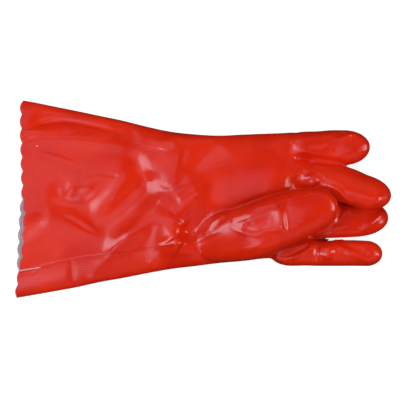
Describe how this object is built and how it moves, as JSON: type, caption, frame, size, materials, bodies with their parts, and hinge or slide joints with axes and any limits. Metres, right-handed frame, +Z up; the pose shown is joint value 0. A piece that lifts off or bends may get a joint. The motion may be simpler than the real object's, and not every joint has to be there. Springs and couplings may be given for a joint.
{
  "type": "pvc coated work glove",
  "caption": "Long red PVC gauntlet glove for the right hand, lying palm up, with a flared pinked mouth, a cotton lining and a thumb folded over the palm.",
  "frame": {"origin": "middle of the glove's outline seen from above, on the surface that it lies on", "axes": "+X from the mouth to the fingertips, +Y towards the little finger, +Z up out of the palm"},
  "size_m": [0.3506, 0.1852, 0.0492],
  "materials": {
    "red_pvc": "glossy dipped skin with the knit showing faintly",
    "grey_cotton": "fine knitted cotton, matt"
  },
  "bodies": {
    "root": {"pvc_coating": "red_pvc", "cotton_lining": "grey_cotton"}
  },
  "joints": []
}
